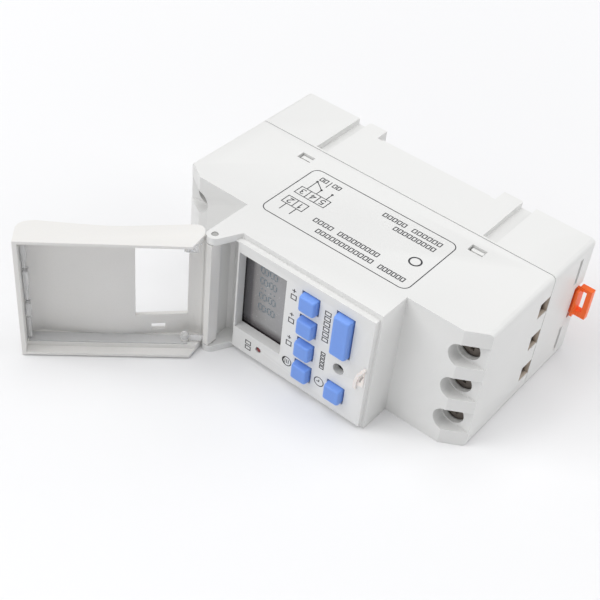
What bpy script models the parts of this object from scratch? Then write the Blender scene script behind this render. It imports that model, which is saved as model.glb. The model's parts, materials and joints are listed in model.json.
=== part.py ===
"""DIN rail weekly timer, lying on its side with the flip lid open.

World axes: +X runs from the lid end of the device to its rail-clip end, +Y runs from the
front panel to the rail seat, +Z is up. The origin is the middle of the flat rail seat.
Lengths are millimetres in this file and are turned into metres where a shape is made.
A depth is measured backwards from the nose face, and z from the middle of the width.
"""

import math

import bpy
import bmesh
from mathutils import Matrix, Vector

# ---------------------------------------------------------------- driving dimensions
SEAT_DEPTH = 53.3          # nose face to rail seat
BACK_DEPTH = 57.0          # nose face to back of the end blocks
HALF_WIDTH = 17.8          # two modules are 35.6 wide
HALF_LENGTH = 43.4
NOSE_HALF = 22.9
SHOULDER_DEPTH = 8.65
CORNER_DEPTH = 12.0        # where the shoulder chamfer meets the end face
CHAMFER_X = 37.9
SEAM_DEPTH = 38.2
SEAM_GAP = 0.15            # half the gap between front housing and rear base
WALL = 1.6
INNER_HALF = HALF_WIDTH - WALL
EDGE_ROUND = 1.2

PLATFORM_RISE = 1.5        # raised front panel inside the lid rim
PLATFORM_HALF_Z = 16.35
PLATFORM_RIGHT = 22.2
RIDGE_X = -16.6            # left end of the panel, top of the hinge pocket ramp
PANEL_BACK = 0.4
LATCH_RISE = 0.55
LATCH_LINE = [(19.75, -4.9), (19.7, -2.9), (20.2, -0.7), (21.6, 1.9)]  # along the wall, (x, z)

HINGE_X = -21.0
HINGE_DEPTH = -4.75
EAR_RADIUS = 1.9
EAR_THICK = 1.9
EAR_BASE_X = -16.6
HINGE_HOLE_R = 0.85
HINGE_PEG_R = 0.55
LID_OPEN_DEG = 137.6
LID_HALF_Z = 17.4
LID_REACH = 44.55
LID_RIM_B = -4.45
LID_STEP_B = -2.0
LID_WALL = 0.75
LID_THICK_WALL = 1.9

LCD_X = (-16.1, -2.1)
LCD_Z = (-9.8, 13.3)
LCD_DEPTH = 1.4

BUTTON_SIDE = 4.5
BUTTON_PROUD = 1.7
BUTTON_FIT = 0.3
BUTTON_COLUMN_X = (4.95, 14.6)
BUTTON_ROW_Z = (-10.25, -3.15, 3.9, 10.95)
MANUAL_LENGTH = 11.5
MANUAL_Z = 7.65
RESET_Z = -2.9
RESET_HOLE_R = 1.55
LED_X = -8.5
LED_Z = -12.8
LED_HOLE_R = 0.85

TERMINAL_Z = (-10.1, 0.1, 10.3)
SCREW_X = 38.4
COUNTERBORE_R = 3.25
COUNTERBORE_FLOOR = 12.15  # just behind the corner, so the recess is open to the end
DRIVER_HOLE_R = 2.85
ROOF_DEPTH = 13.5
HEAD_TOP = 13.9
HEAD_R = 3.1
SCREW_R = 1.75
CAGE_TOP = 24.5
CAGE_BOTTOM = 39.6
CAGE_WIDTH = 6.8
CAGE_LENGTH = 5.6
NOTCH_HALF = 2.3
NOTCH_DEPTH = 33.8
STRIP_DEPTH = (32.3, 33.1)

CHANNEL_HALF = 17.7        # for 35 mm wide rail
SEAT_HALF = 16.2           # the rail rests between these, clear of the hooks
SEAT_RELIEF = 0.35
TAB_DEPTH = 57.3
FLEX_SLOT_DEPTH = (51.2, 52.6)
TAB_OUTER_X = 22.8
GROOVE_LEFT = (-26.3, -23.1)
GROOVE_RIGHT = (23.2, 27.0)
GROOVE_FLOOR_Z = 16.1

BOARD_DEPTH = (7.4, 9.0)
POWER_DEPTH = (33.4, 35.0)

ROUND_STEPS = 28


# ---------------------------------------------------------------- helpers
def clear_scene():
    for obj in list(bpy.data.objects):
        bpy.data.objects.remove(obj, do_unlink=True)


def new_collection(name, hidden=False):
    collection = bpy.data.collections.new(name)
    bpy.context.scene.collection.children.link(collection)
    collection.hide_render = hidden
    return collection


clear_scene()
PARTS = new_collection("din_rail_timer")
CUTTERS = new_collection("cutters", hidden=True)


def world(x, depth, z):
    return (x / 1000.0, (depth - SEAT_DEPTH) / 1000.0, z / 1000.0)


def material(name, color, roughness, metallic=0.0):
    found = bpy.data.materials.get(name)
    if found:
        return found
    made = bpy.data.materials.new(name)
    made.use_nodes = True
    shader = made.node_tree.nodes["Principled BSDF"]
    shader.inputs["Base Color"].default_value = (*color, 1.0)
    shader.inputs["Roughness"].default_value = roughness
    shader.inputs["Metallic"].default_value = metallic
    return made


def place(name, mesh, collection):
    obj = bpy.data.objects.new(name, mesh)
    collection.objects.link(obj)
    return obj


def from_bmesh(name, work, collection):
    bmesh.ops.recalc_face_normals(work, faces=work.faces)
    mesh = bpy.data.meshes.new(name)
    work.to_mesh(mesh)
    work.free()
    return place(name, mesh, collection)


def box(name, xs, depths, zs, collection=CUTTERS):
    """A block between two corners given as ranges."""
    work = bmesh.new()
    bmesh.ops.create_cube(work, size=1.0)
    low = world(xs[0], depths[0], zs[0])
    high = world(xs[1], depths[1], zs[1])
    middle = [(a + b) / 2 for a, b in zip(low, high)]
    size = [b - a for a, b in zip(low, high)]
    bmesh.ops.scale(work, vec=size, verts=work.verts)
    bmesh.ops.translate(work, vec=middle, verts=work.verts)
    return from_bmesh(name, work, collection)


def rod(name, axis, middle, span, radii, collection=CUTTERS, steps=ROUND_STEPS):
    """A cylinder or cone. `middle` holds the two coordinates across the axis."""
    work = bmesh.new()
    length = (span[1] - span[0]) / 1000.0
    bmesh.ops.create_cone(work, cap_ends=True, cap_tris=False, segments=steps,
                          radius1=radii[0] / 1000.0, radius2=radii[1] / 1000.0, depth=length)
    centre = (span[0] + span[1]) / 2
    if axis == "Z":
        turn = Matrix.Identity(4)
        spot = world(middle[0], middle[1], centre)
    elif axis == "Y":
        turn = Matrix.Rotation(math.radians(-90), 4, "X")
        spot = world(middle[0], centre, middle[1])
    else:
        turn = Matrix.Rotation(math.radians(90), 4, "Y")
        spot = world(centre, middle[0], middle[1])
    bmesh.ops.transform(work, matrix=Matrix.Translation(spot) @ turn, verts=work.verts)
    return from_bmesh(name, work, collection)


def prism(name, outline, zs, collection=CUTTERS):
    """A filled outline of (x, depth) corners, extruded along Z between the two heights."""
    curve = bpy.data.curves.new(name + "_outline", "CURVE")
    curve.dimensions = "2D"
    curve.fill_mode = "BOTH"
    curve.extrude = (zs[1] - zs[0]) / 2000.0
    spline = curve.splines.new("POLY")
    spline.points.add(len(outline) - 1)
    for point, (x, depth) in zip(spline.points, outline):
        spot = world(x, depth, 0.0)
        point.co = (spot[0], spot[1], 0.0, 1.0)
    spline.use_cyclic_u = True
    holder = bpy.data.objects.new(name + "_outline", curve)
    CUTTERS.objects.link(holder)
    holder.hide_render = True
    bpy.context.view_layer.update()
    graph = bpy.context.evaluated_depsgraph_get()
    mesh = bpy.data.meshes.new_from_object(holder.evaluated_get(graph))
    bpy.data.objects.remove(holder, do_unlink=True)
    work = bmesh.new()
    work.from_mesh(mesh)
    bmesh.ops.remove_doubles(work, verts=work.verts, dist=1e-6)
    bmesh.ops.dissolve_limit(work, angle_limit=0.001, verts=work.verts, edges=work.edges)
    lift = (zs[0] + zs[1]) / 2000.0
    bmesh.ops.translate(work, vec=(0.0, 0.0, lift), verts=work.verts)
    return from_bmesh(name, work, collection)


def arc(centre, radius, start, end, steps):
    """Points (x, depth) round a centre, angles in degrees from +X towards +depth."""
    points = []
    for i in range(steps + 1):
        angle = math.radians(start + (end - start) * i / steps)
        points.append((centre[0] + radius * math.cos(angle),
                       centre[1] + radius * math.sin(angle)))
    return points


def combine(target, operation, helpers):
    """Adds or removes the helper solids with one Boolean each."""
    for helper in helpers:
        helper.hide_render = True
        helper.display_type = "WIRE"
        step = target.modifiers.new(operation.lower() + "_" + helper.name, "BOOLEAN")
        step.operation = operation
        step.solver = "EXACT"
        step.object = helper
    return target


def cut(target, *helpers):
    return combine(target, "DIFFERENCE", helpers)


def add(target, *helpers):
    return combine(target, "UNION", helpers)


def finish(obj, look, origin=None):
    """Gives the object its material and, for a moving piece, its origin on the joint axis."""
    obj.data.materials.clear()
    obj.data.materials.append(look)
    if origin is not None:
        spot = world(*origin)
        move = Matrix.Translation((-spot[0], -spot[1], -spot[2]))
        obj.data.transform(move)
        obj.location = spot
    return obj


def round_long_edges(obj, near_x, width):
    """Bevels the edges that run along Y on the outside end of a housing half."""
    mesh = obj.data
    weight = mesh.attributes.new("bevel_weight_edge", "FLOAT", "EDGE")
    for edge in mesh.edges:
        a = mesh.vertices[edge.vertices[0]].co
        b = mesh.vertices[edge.vertices[1]].co
        along = abs(a.y - b.y) > 0.005 and abs(a.x - b.x) < 1e-6 and abs(a.z - b.z) < 1e-6
        outer = abs(abs(a.x) - near_x / 1000.0) < 1e-5 and abs(abs(a.z) - HALF_WIDTH / 1000.0) < 1e-5
        weight.data[edge.index].value = 1.0 if along and outer else 0.0
    step = obj.modifiers.new("round_ends", "BEVEL")
    step.limit_method = "WEIGHT"
    step.width = width / 1000.0
    step.segments = 3


# ---------------------------------------------------------------- materials
HOUSING = material("housing_abs", (0.80, 0.80, 0.78), 0.42)
LID_LOOK = material("lid_abs", (0.79, 0.79, 0.77), 0.40)
BLUE = material("button_blue", (0.18, 0.34, 0.82), 0.45)
ORANGE = material("clip_orange", (1.0, 0.16, 0.03), 0.38)
STEEL = material("zinc_steel", (0.42, 0.39, 0.36), 0.35, 1.0)
BRASS = material("brass", (0.72, 0.53, 0.28), 0.35, 1.0)
GLASS = material("lcd_glass", (0.30, 0.31, 0.33), 0.12)
FRAME_WHITE = material("lcd_frame_white", (0.85, 0.85, 0.83), 0.5)
RUBBER = material("keypad_silicone", (0.72, 0.73, 0.75), 0.7)
ZEBRA = material("zebra_rubber", (0.75, 0.45, 0.50), 0.7)
FR4 = material("circuit_board", (0.03, 0.18, 0.07), 0.45)
PHENOLIC = material("power_board", (0.35, 0.22, 0.09), 0.55)
BLACK = material("black_plastic", (0.02, 0.02, 0.02), 0.4)
RED_LENS = material("led_red", (0.25, 0.02, 0.03), 0.2)
YELLOW = material("film_capacitor", (0.75, 0.50, 0.08), 0.45)
CAN = material("capacitor_sleeve", (0.03, 0.04, 0.12), 0.35)
BATTERY = material("battery_steel", (0.65, 0.65, 0.66), 0.3, 1.0)
VARISTOR = material("varistor_blue", (0.06, 0.15, 0.40), 0.5)
RESISTOR = material("resistor_body", (0.55, 0.45, 0.32), 0.6)
COPPER = material("coil_copper", (0.70, 0.25, 0.10), 0.4, 0.6)
SMOKE = material("relay_cover_blue", (0.04, 0.10, 0.30), 0.3)
SILVER = material("plated_strip", (0.75, 0.74, 0.72), 0.3, 1.0)


# ---------------------------------------------------------------- front housing
def end_sides():
    """The three screw rows at the clip end and the two at the lid end, as (sign, z)."""
    rows = [(1, z) for z in TERMINAL_Z]
    rows += [(-1, TERMINAL_Z[2]), (-1, TERMINAL_Z[0])]
    return rows


def housing_outline():
    back = SEAM_DEPTH - SEAM_GAP
    return [(-HALF_LENGTH, back), (-HALF_LENGTH, CORNER_DEPTH), (-CHAMFER_X, SHOULDER_DEPTH),
            (CHAMFER_X, SHOULDER_DEPTH), (HALF_LENGTH, CORNER_DEPTH), (HALF_LENGTH, back)]


def ear_outline():
    tip = arc((HINGE_X, HINGE_DEPTH), EAR_RADIUS, 180, 334, 12)
    return [(-NOSE_HALF, 1.0)] + tip + [(EAR_BASE_X, 0.0), (EAR_BASE_X, 1.0)]


def pocket_outline(grow=0.0):
    """Hinge pocket with a concave ramp up to the panel. `grow` gives the wall behind it."""
    left = -NOSE_HALF + 1.5 - grow
    ramp = [(-20.6, 2.2 + grow), (-19.2 + 0.4 * grow, 1.75 + grow), (-18.0 + 0.6 * grow, 0.75 + grow),
            (-17.1 + 0.8 * grow, -0.45 + grow), (RIDGE_X + 0.9 * grow, -1.5 + grow)]
    return [(left, -3.0), (left, 1.6 + grow)] + ramp + [(RIDGE_X + 0.9 * grow, -3.0)]


def front_housing():
    body = prism("front_housing", housing_outline(), (-HALF_WIDTH, HALF_WIDTH), PARTS)
    round_long_edges(body, HALF_LENGTH, EDGE_ROUND)
    inner_back = SEAM_DEPTH + 2.0
    add(body, box("nose", (-NOSE_HALF, NOSE_HALF), (0.0, SHOULDER_DEPTH + 1.0), (-HALF_WIDTH, HALF_WIDTH)))
    cut(body,
        box("nose_cavity", (-21.3, 21.3), (PANEL_BACK, 12.0), (-INNER_HALF, INNER_HALF)),
        box("main_cavity", (-33.2, 33.2), (SHOULDER_DEPTH + WALL, inner_back), (-INNER_HALF, INNER_HALF)))
    add_front_details(body)
    cut_front_openings(body)
    return finish(body, HOUSING)


def add_front_details(body):
    zs = (-INNER_HALF - 0.2, INNER_HALF + 0.2)
    behind = [(-22.3, 0.2), (-22.3, 3.6), (-19.6, 3.4), (-18.0, 2.0), (-17.3, PANEL_BACK + 0.3),
              (-17.3, 0.2)]
    add(body,
        prism("pocket_wall", behind, zs),
        box("platform", (RIDGE_X - 4.0, PLATFORM_RIGHT), (-PLATFORM_RISE, 0.2),
            (-PLATFORM_HALF_Z, PLATFORM_HALF_Z)),
        box("bezel_collar", (LCD_X[0] - 1.2, LCD_X[1] + 1.2), (0.2, LCD_DEPTH - 0.3),
            (LCD_Z[0] - 1.2, LCD_Z[1] + 1.2)),
        box("hinge_side_wall", (-NOSE_HALF, -NOSE_HALF + 1.5), (-2.3, 0.3),
            (-HALF_WIDTH + 1.0, HALF_WIDTH - 1.0)),
        prism("ear_top", ear_outline(), (HALF_WIDTH - EAR_THICK, HALF_WIDTH)),
        prism("ear_bottom", ear_outline(), (-HALF_WIDTH, -HALF_WIDTH + EAR_THICK)),
        *latch_steps())


def latch_steps():
    """The bent catch wall on the panel, as a chain of short turned blocks."""
    steps = []
    for index, (start, end) in enumerate(zip(LATCH_LINE, LATCH_LINE[1:]), 1):
        along = Vector((end[0] - start[0], 0.0, end[1] - start[1]))
        block = box(f"latch_{index}", (-0.35, 0.35), (-LATCH_RISE, 0.1),
                    (-along.length / 2 - 0.2, along.length / 2 + 0.2))
        block.data.transform(Matrix.Translation((0.0, SEAT_DEPTH / 1000.0, 0.0)))
        block.rotation_euler = (0.0, math.atan2(along.x, along.z), 0.0)
        block.location = world((start[0] + end[0]) / 2, -PLATFORM_RISE, (start[1] + end[1]) / 2)
        steps.append(block)
    return steps


def cut_front_openings(body):
    gap = HALF_WIDTH - EAR_THICK
    cut(body,
        prism("hinge_pocket", pocket_outline(), (-gap, gap)),
        rod("hinge_holes", "Z", (HINGE_X, HINGE_DEPTH), (-20.0, 20.0), (HINGE_HOLE_R, HINGE_HOLE_R),
            steps=16),
        box("lcd_opening", LCD_X, (-4.0, 3.0), LCD_Z),
        rod("led_hole", "Y", (LED_X, LED_Z), (-4.0, 3.0), (LED_HOLE_R, LED_HOLE_R), steps=16),
        rod("reset_hole", "Y", (BUTTON_COLUMN_X[1], RESET_Z), (-4.0, 3.0),
            (RESET_HOLE_R, RESET_HOLE_R), steps=16))
    for name, x, z, length in button_places():
        half_x = BUTTON_SIDE / 2 + BUTTON_FIT
        half_z = length / 2 + BUTTON_FIT
        cut(body, box("hole_" + name, (x - half_x, x + half_x), (-4.0, 3.0), (z - half_z, z + half_z)))
    for index, (sign, z) in enumerate(end_sides(), 1):
        cut_terminal_chamber(body, index, sign, z)
    for index, xs in enumerate(((-27.0, -23.2), (23.3, 27.3)), 1):
        cut(body,
            box(f"snap_window_up_{index}", xs, (32.0, 34.5), (14.0, 19.0)),
            box(f"snap_window_down_{index}", xs, (32.0, 34.5), (-19.0, -14.0)))


def ordered(a, b):
    return (min(a, b), max(a, b))


def cut_terminal_chamber(body, index, sign, z):
    """One cell for a cage clamp, its screwdriver hole, its wire entry and its strip slot."""
    x = sign * SCREW_X
    half = CAGE_WIDTH / 2 + 0.5
    cell_x = ordered(sign * 34.6, sign * (HALF_LENGTH - 1.5))
    outer_x = ordered(sign * 41.0, sign * 46.0)
    slot_x = ordered(sign * 32.0, sign * 35.5)
    back = SEAM_DEPTH + 2.0
    cut(body,
        box(f"cell_{index}", cell_x, (ROOF_DEPTH, back), (z - half, z + half)),
        rod(f"counterbore_{index}", "Y", (x, z), (4.0, COUNTERBORE_FLOOR),
            (COUNTERBORE_R, COUNTERBORE_R)),
        box(f"recess_{index}", ordered(x, sign * 46.0), (4.0, COUNTERBORE_FLOOR),
            (z - COUNTERBORE_R, z + COUNTERBORE_R)),
        rod(f"driver_hole_{index}", "Y", (x, z), (11.0, ROOF_DEPTH + 1.0),
            (DRIVER_HOLE_R, DRIVER_HOLE_R)),
        box(f"wire_notch_{index}", outer_x, (NOTCH_DEPTH, back),
            (z - 0.4 - NOTCH_HALF, z - 0.4 + NOTCH_HALF)),
        box(f"strip_slot_{index}", slot_x, (31.8, back), (z - 2.4, z + 2.4)))


# ---------------------------------------------------------------- rear base
def base_outline():
    front = SEAM_DEPTH + SEAM_GAP
    return [(-HALF_LENGTH, front), (HALF_LENGTH, front), (HALF_LENGTH, BACK_DEPTH),
            (TAB_OUTER_X, BACK_DEPTH), (TAB_OUTER_X, TAB_DEPTH), (CHANNEL_HALF + 0.1, TAB_DEPTH),
            (CHANNEL_HALF, SEAT_DEPTH), (-CHANNEL_HALF, SEAT_DEPTH),
            (-CHANNEL_HALF - 0.1, TAB_DEPTH), (-TAB_OUTER_X, TAB_DEPTH),
            (-TAB_OUTER_X, BACK_DEPTH), (-HALF_LENGTH, BACK_DEPTH)]


def rear_base():
    body = prism("rear_base", base_outline(), (-HALF_WIDTH, HALF_WIDTH), PARTS)
    round_long_edges(body, HALF_LENGTH, EDGE_ROUND)
    front = SEAM_DEPTH - 1.0
    cut(body,
        box("base_middle", (-21.6, 21.6), (front, SEAT_DEPTH - 1.7), (-INNER_HALF, INNER_HALF)),
        box("base_passage", (-33.2, 33.2), (front, 50.0), (-14.4, 14.4)))
    for index, (sign, z) in enumerate(end_sides(), 1):
        half = CAGE_WIDTH / 2 + 0.5
        cell_x = ordered(sign * 34.6, sign * (HALF_LENGTH - 1.5))
        cut(body, box(f"base_cell_{index}", cell_x, (front, 44.0), (z - half, z + half)))
    for index, xs in enumerate((GROOVE_LEFT, GROOVE_RIGHT), 1):
        cut(body,
            box(f"groove_up_{index}", xs, (38.9, 60.0), (GROOVE_FLOOR_Z, 20.0)),
            box(f"groove_down_{index}", xs, (38.9, 60.0), (-20.0, -GROOVE_FLOOR_Z)))
    add_base_details(body)
    cut(body,
        box("clip_wide_slot", (16.0, 50.0), (54.7, 56.15), (-4.4, 4.4)),
        box("clip_narrow_slot", (16.0, 50.0), (56.0, 60.0), (-3.5, 3.5)),
        box("clip_end_relief", (41.5, 50.0), (53.1, 60.0), (-4.8, 4.8)),
        box("seat_relief_left", (-CHANNEL_HALF, -SEAT_HALF),
            (SEAT_DEPTH - SEAT_RELIEF, SEAT_DEPTH + 0.5), (-20.0, 20.0)),
        box("seat_relief_right", (SEAT_HALF, CHANNEL_HALF),
            (SEAT_DEPTH - SEAT_RELIEF, SEAT_DEPTH + 0.5), (-20.0, 20.0)),
        box("flex_slot_up", (40.8, 50.0), FLEX_SLOT_DEPTH, (6.9, 14.7)),
        box("flex_slot_down", (40.8, 50.0), FLEX_SLOT_DEPTH, (-14.7, -6.9)))
    return finish(body, HOUSING)


def add_base_details(body):
    """Fixed rail hook, board posts and the four snap arms that reach into the windows."""
    hook = [(-19.0, 54.6), (-16.5, 54.6), (-16.5, 55.6), (-17.4, 57.2), (-19.0, 57.2)]
    add(body, prism("fixed_hook", hook, (-12.0, 12.0)))
    for index, (x, z) in enumerate(((-19.0, -11.0), (-19.0, 11.0), (19.0, -11.0), (19.0, 11.0)), 1):
        add(body, rod(f"board_post_{index}", "Y", (x, z), (35.3, 52.5), (1.8, 1.8), steps=12))
    for side, xs in enumerate(((-26.6, -23.6), (23.7, 26.9)), 1):
        for name, sign in (("up", 1), ("down", -1)):
            arm = ordered(sign * 14.5, sign * 15.9)
            catch = ordered(sign * 15.5, sign * 17.2)
            add(body,
                box(f"snap_arm_{name}_{side}", xs, (32.4, 41.0), arm),
                box(f"snap_catch_{name}_{side}", xs, (33.1, 34.2), catch))


# ---------------------------------------------------------------- flip lid
def lid_wave():
    """Outer skin of the lid from the free end to the hinge end, as (along, outwards)."""
    return [(44.4, 0.8), (43.85, 2.0), (42.85, 2.8), (41.6, 3.2), (40.0, 3.4), (36.5, 3.1),
            (32.0, 2.7), (28.0, 2.4), (24.0, 2.2), (20.0, 2.3), (15.0, 2.75), (10.0, 3.2),
            (5.5, 3.6), (3.6, 3.6), (2.75, 3.2)]


def lid_points(pairs):
    return [(HINGE_X + a, HINGE_DEPTH - b) for a, b in pairs]


def lid():
    side = [(LID_REACH, LID_RIM_B)] + lid_wave() + [(2.15, 2.2), (2.15, 0.2), (4.95, LID_RIM_B)]
    body = prism("lid", lid_points(side), (-LID_HALF_Z, LID_HALF_Z), PARTS)
    inner = [(a, b - 1.05) for a, b in lid_wave()[3:13]]
    end = LID_REACH - 1.0
    deep = [(end, -3.0), (end, 0.4), (end - 0.7, 1.5)] + inner
    deep += [(3.8, 2.5), (2.0, 1.4), (1.0, 0.8), (1.0, -3.0)]
    rim = [(end, LID_RIM_B - 2.0), (end, LID_STEP_B), (1.6, LID_STEP_B), (1.6, LID_RIM_B - 2.0)]
    deep_z = LID_HALF_Z - LID_THICK_WALL
    rim_z = LID_HALF_Z - LID_WALL
    cut(body,
        prism("lid_hollow", lid_points(deep), (-deep_z, deep_z)),
        prism("lid_rim_hollow", lid_points(rim), (-rim_z, rim_z)),
        lid_box("display_window", (5.6, 18.0), (0.0, 5.0), (-9.3, 12.8)),
        lid_box("led_slot", (10.85, 14.2), (0.0, 5.0), (-14.1, -12.2)))
    between = HALF_WIDTH - EAR_THICK - 0.3
    hinge_bar = [(1.73, -0.93), (0.62, -1.94), (-1.54, 0.42), (-0.43, 1.44)]
    link = [(3.3, 3.5), (-0.43, 1.42), (0.3, 0.55), (3.6, 2.5)]
    add(body,
        prism("lid_link", lid_points(link), (-between, between)),
        prism("lid_hinge_bar", lid_points(hinge_bar), (-between, between)),
        rod("lid_pegs", "Z", (HINGE_X, HINGE_DEPTH), (-17.3, 17.3), (HINGE_PEG_R, HINGE_PEG_R),
            steps=12),
        rod("lid_boss", "Z", lid_points([(5.9, -2.3)])[0], (14.6, 16.5), (0.7, 0.7), steps=12),
        rod("lid_post", "Z", lid_points([(6.1, -0.4)])[0], (-16.0, -13.2), (0.9, 0.9), steps=12))
    finish(body, LID_LOOK, (HINGE_X, HINGE_DEPTH, 0.0))
    body.rotation_euler = (0.0, 0.0, -math.radians(LID_OPEN_DEG))
    settle_helpers(body)
    return body


def lid_box(name, along, outwards, zs):
    xs = (HINGE_X + along[0], HINGE_X + along[1])
    depths = (HINGE_DEPTH - outwards[1], HINGE_DEPTH - outwards[0])
    return box(name, xs, depths, zs)


def settle_helpers(body):
    """Turns the helper solids of the lid with it, so that they still meet it when it is open."""
    spot = Matrix.Translation(body.location)
    turn = spot @ Matrix.Rotation(body.rotation_euler.z, 4, "Z") @ spot.inverted()
    for step in body.modifiers:
        step.object.matrix_world = turn


# ---------------------------------------------------------------- panel parts
def button_places():
    rows = list(zip(("button_program", "button_day", "button_hour", "button_minute"), BUTTON_ROW_Z))
    places = [(name, BUTTON_COLUMN_X[0], z, BUTTON_SIDE) for name, z in rows]
    places.append(("button_clock", BUTTON_COLUMN_X[1], BUTTON_ROW_Z[0], BUTTON_SIDE))
    places.append(("button_manual", BUTTON_COLUMN_X[1], MANUAL_Z, MANUAL_LENGTH))
    return places


def push_button(name, x, z, length):
    half_x = BUTTON_SIDE / 2
    half_z = length / 2
    front = -PLATFORM_RISE - BUTTON_PROUD
    cap = box(name, (x - half_x, x + half_x), (front, 1.0), (z - half_z, z + half_z), PARTS)
    mesh = cap.data
    weight = mesh.attributes.new("bevel_weight_edge", "FLOAT", "EDGE")
    limit = (front + 0.01 - SEAT_DEPTH) / 1000.0
    for edge in mesh.edges:
        ends = [mesh.vertices[i].co for i in edge.vertices]
        weight.data[edge.index].value = 1.0 if all(co.y < limit for co in ends) else 0.0
    step = cap.modifiers.new("soft_front", "BEVEL")
    step.limit_method = "WEIGHT"
    step.width = 0.0007
    step.segments = 2
    add(cap,
        box(name + "_flange", (x - half_x - 0.6, x + half_x + 0.6), (0.75, 1.55),
            (z - half_z - 0.6, z + half_z + 0.6)),
        box(name + "_stem", (x - 1.0, x + 1.0), (1.3, 2.8), (z - 1.0, z + 1.0)))
    return finish(cap, BLUE, (x, front, z))


def keypad_sheet():
    sheet = box("keypad_sheet", (1.0, 19.4), (6.3, 7.1), (-14.4, 14.8), PARTS)
    for name, x, z, _ in button_places():
        add(sheet, rod(name + "_dome", "Y", (x, z), (3.9, 6.6), (1.3, 2.2), steps=12))
    for name, x, z, _ in button_places():
        cut(sheet, rod(name + "_dome_hollow", "Y", (x, z), (5.0, 8.0), (0.8, 1.6), steps=12))
    cut(sheet, box("reset_clearance", (11.9, 17.3), (5.0, 8.0), (-5.6, -0.2)))
    return finish(sheet, RUBBER)


def display_parts():
    lcd = box("lcd_glass", (-17.2, -1.0), (LCD_DEPTH, 4.0), (LCD_Z[0] - 1.0, LCD_Z[1] + 1.0), PARTS)
    finish(lcd, GLASS)
    frame = box("lcd_frame", (-18.6, 0.4), (4.3, 7.1), (-11.3, 15.2), PARTS)
    cut(frame, box("frame_opening", (-17.5, -0.7), (3.0, 9.0), (-10.0, 13.9)))
    finish(frame, FRAME_WHITE)
    finish(box("zebra_left", (-17.2, -15.2), (4.3, 7.1), (-9.7, 13.6), PARTS), ZEBRA)
    finish(box("zebra_right", (-3.0, -1.0), (4.3, 7.1), (-9.7, 13.6), PARTS), ZEBRA)
    finish(box("display_board", (-20.6, 20.6), BOARD_DEPTH, (-15.5, 15.5), PARTS), FR4)
    led = rod("led_on", "Y", (LED_X, LED_Z), (-1.3, 4.6), (0.6, 0.6), PARTS, steps=16)
    add(led,
        rod("led_body", "Y", (LED_X, LED_Z), (0.7, 5.2), (1.1, 1.1), steps=16),
        box("led_lead_1", (LED_X - 0.75, LED_X - 0.35), (4.8, 7.1), (LED_Z - 0.2, LED_Z + 0.2)),
        box("led_lead_2", (LED_X + 0.35, LED_X + 0.75), (4.8, 7.1), (LED_Z - 0.2, LED_Z + 0.2)))
    finish(led, RED_LENS)


def reset_switch():
    x = BUTTON_COLUMN_X[1]
    body = box("reset_switch", (x - 2.25, x + 2.25), (3.9, 7.1), (RESET_Z - 2.25, RESET_Z + 2.25), PARTS)
    cut(body, rod("reset_well", "Y", (x, RESET_Z), (2.0, 5.6), (1.3, 1.3), steps=16))
    finish(body, BLACK)
    plunger = rod("reset_plunger", "Y", (x, RESET_Z), (1.7, 5.0), (1.0, 1.0), PARTS, steps=16)
    finish(plunger, BLACK, (x, 1.7, RESET_Z))


# ---------------------------------------------------------------- boards and components
def power_parts():
    finish(box("power_board", (-32.6, 32.6), POWER_DEPTH, (-14.0, 14.0), PARTS), PHENOLIC)
    finish(box("film_capacitor", (-30.0, -12.0), (19.0, 33.1), (4.2, 13.6), PARTS), YELLOW)
    can = rod("smoothing_capacitor", "Y", (-25.0, -7.0), (20.0, 33.1), (4.2, 4.2), PARTS)
    finish(can, CAN)
    disc = rod("varistor", "X", (28.0, -7.5), (-14.6, -11.2), (4.8, 4.8), PARTS)
    add(disc,
        box("varistor_lead_1", (-13.3, -12.7), (30.0, 33.1), (-10.4, -9.8)),
        box("varistor_lead_2", (-13.3, -12.7), (30.0, 33.1), (-5.2, -4.6)))
    finish(disc, VARISTOR)
    ohm = rod("safety_resistor", "X", (30.9, -10.5), (-7.5, 1.5), (1.7, 1.7), PARTS, steps=14)
    finish(ohm, RESISTOR)
    finish(box("rectifier", (5.0, 12.5), (30.6, 33.1), (-12.0, -5.5), PARTS), BLACK)
    finish(box("controller_chip", (-12.0, 0.0), (9.3, 10.9), (-6.0, 6.0), PARTS), BLACK)
    finish(rod("clock_crystal", "Z", (5.0, 10.4), (-4.0, 2.2), (1.0, 1.0), PARTS, steps=14), BATTERY)
    cell = rod("backup_cell", "Y", (-8.0, 0.0), (12.2, 17.6), (7.7, 7.7), PARTS, steps=28)
    finish(cell, BATTERY)
    link = box("board_link", (16.8, 19.2), (9.3, 11.8), (-12.9, -2.5), PARTS)
    for index in range(4):
        z = -11.6 + 2.6 * index
        add(link, box(f"link_pin_{index + 1}", (17.7, 18.3), (11.0, 33.1), (z - 0.3, z + 0.3)))
    finish(link, BLACK)


def relay_parts():
    cover = box("relay_cover", (-8.5, 19.5), (17.9, 31.2), (0.8, 13.4), PARTS)
    cut(cover, box("relay_room", (-7.7, 18.7), (18.7, 33.0), (1.6, 12.6)))
    finish(cover, SMOKE)
    finish(box("relay_base", (-8.5, 19.5), (31.5, 33.1), (0.8, 13.4), PARTS), BLACK)
    coil = rod("relay_coil", "Y", (0.0, 7.1), (21.6, 31.2), (4.6, 4.6), PARTS)
    add(coil, rod("relay_core", "Y", (0.0, 7.1), (21.1, 23.0), (2.0, 2.0), steps=16))
    finish(coil, COPPER)
    plate = box("relay_armature", (-4.5, 8.6), (19.7, 20.3), (3.0, 11.2), PARTS)
    add(plate, box("armature_tail", (8.0, 8.6), (19.7, 24.0), (3.0, 11.2)))
    finish(plate, STEEL, (8.3, 20.0, 7.1))
    finish(box("relay_contact", (12.0, 12.4), (20.0, 31.2), (5.0, 9.2), PARTS), SILVER)


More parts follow.
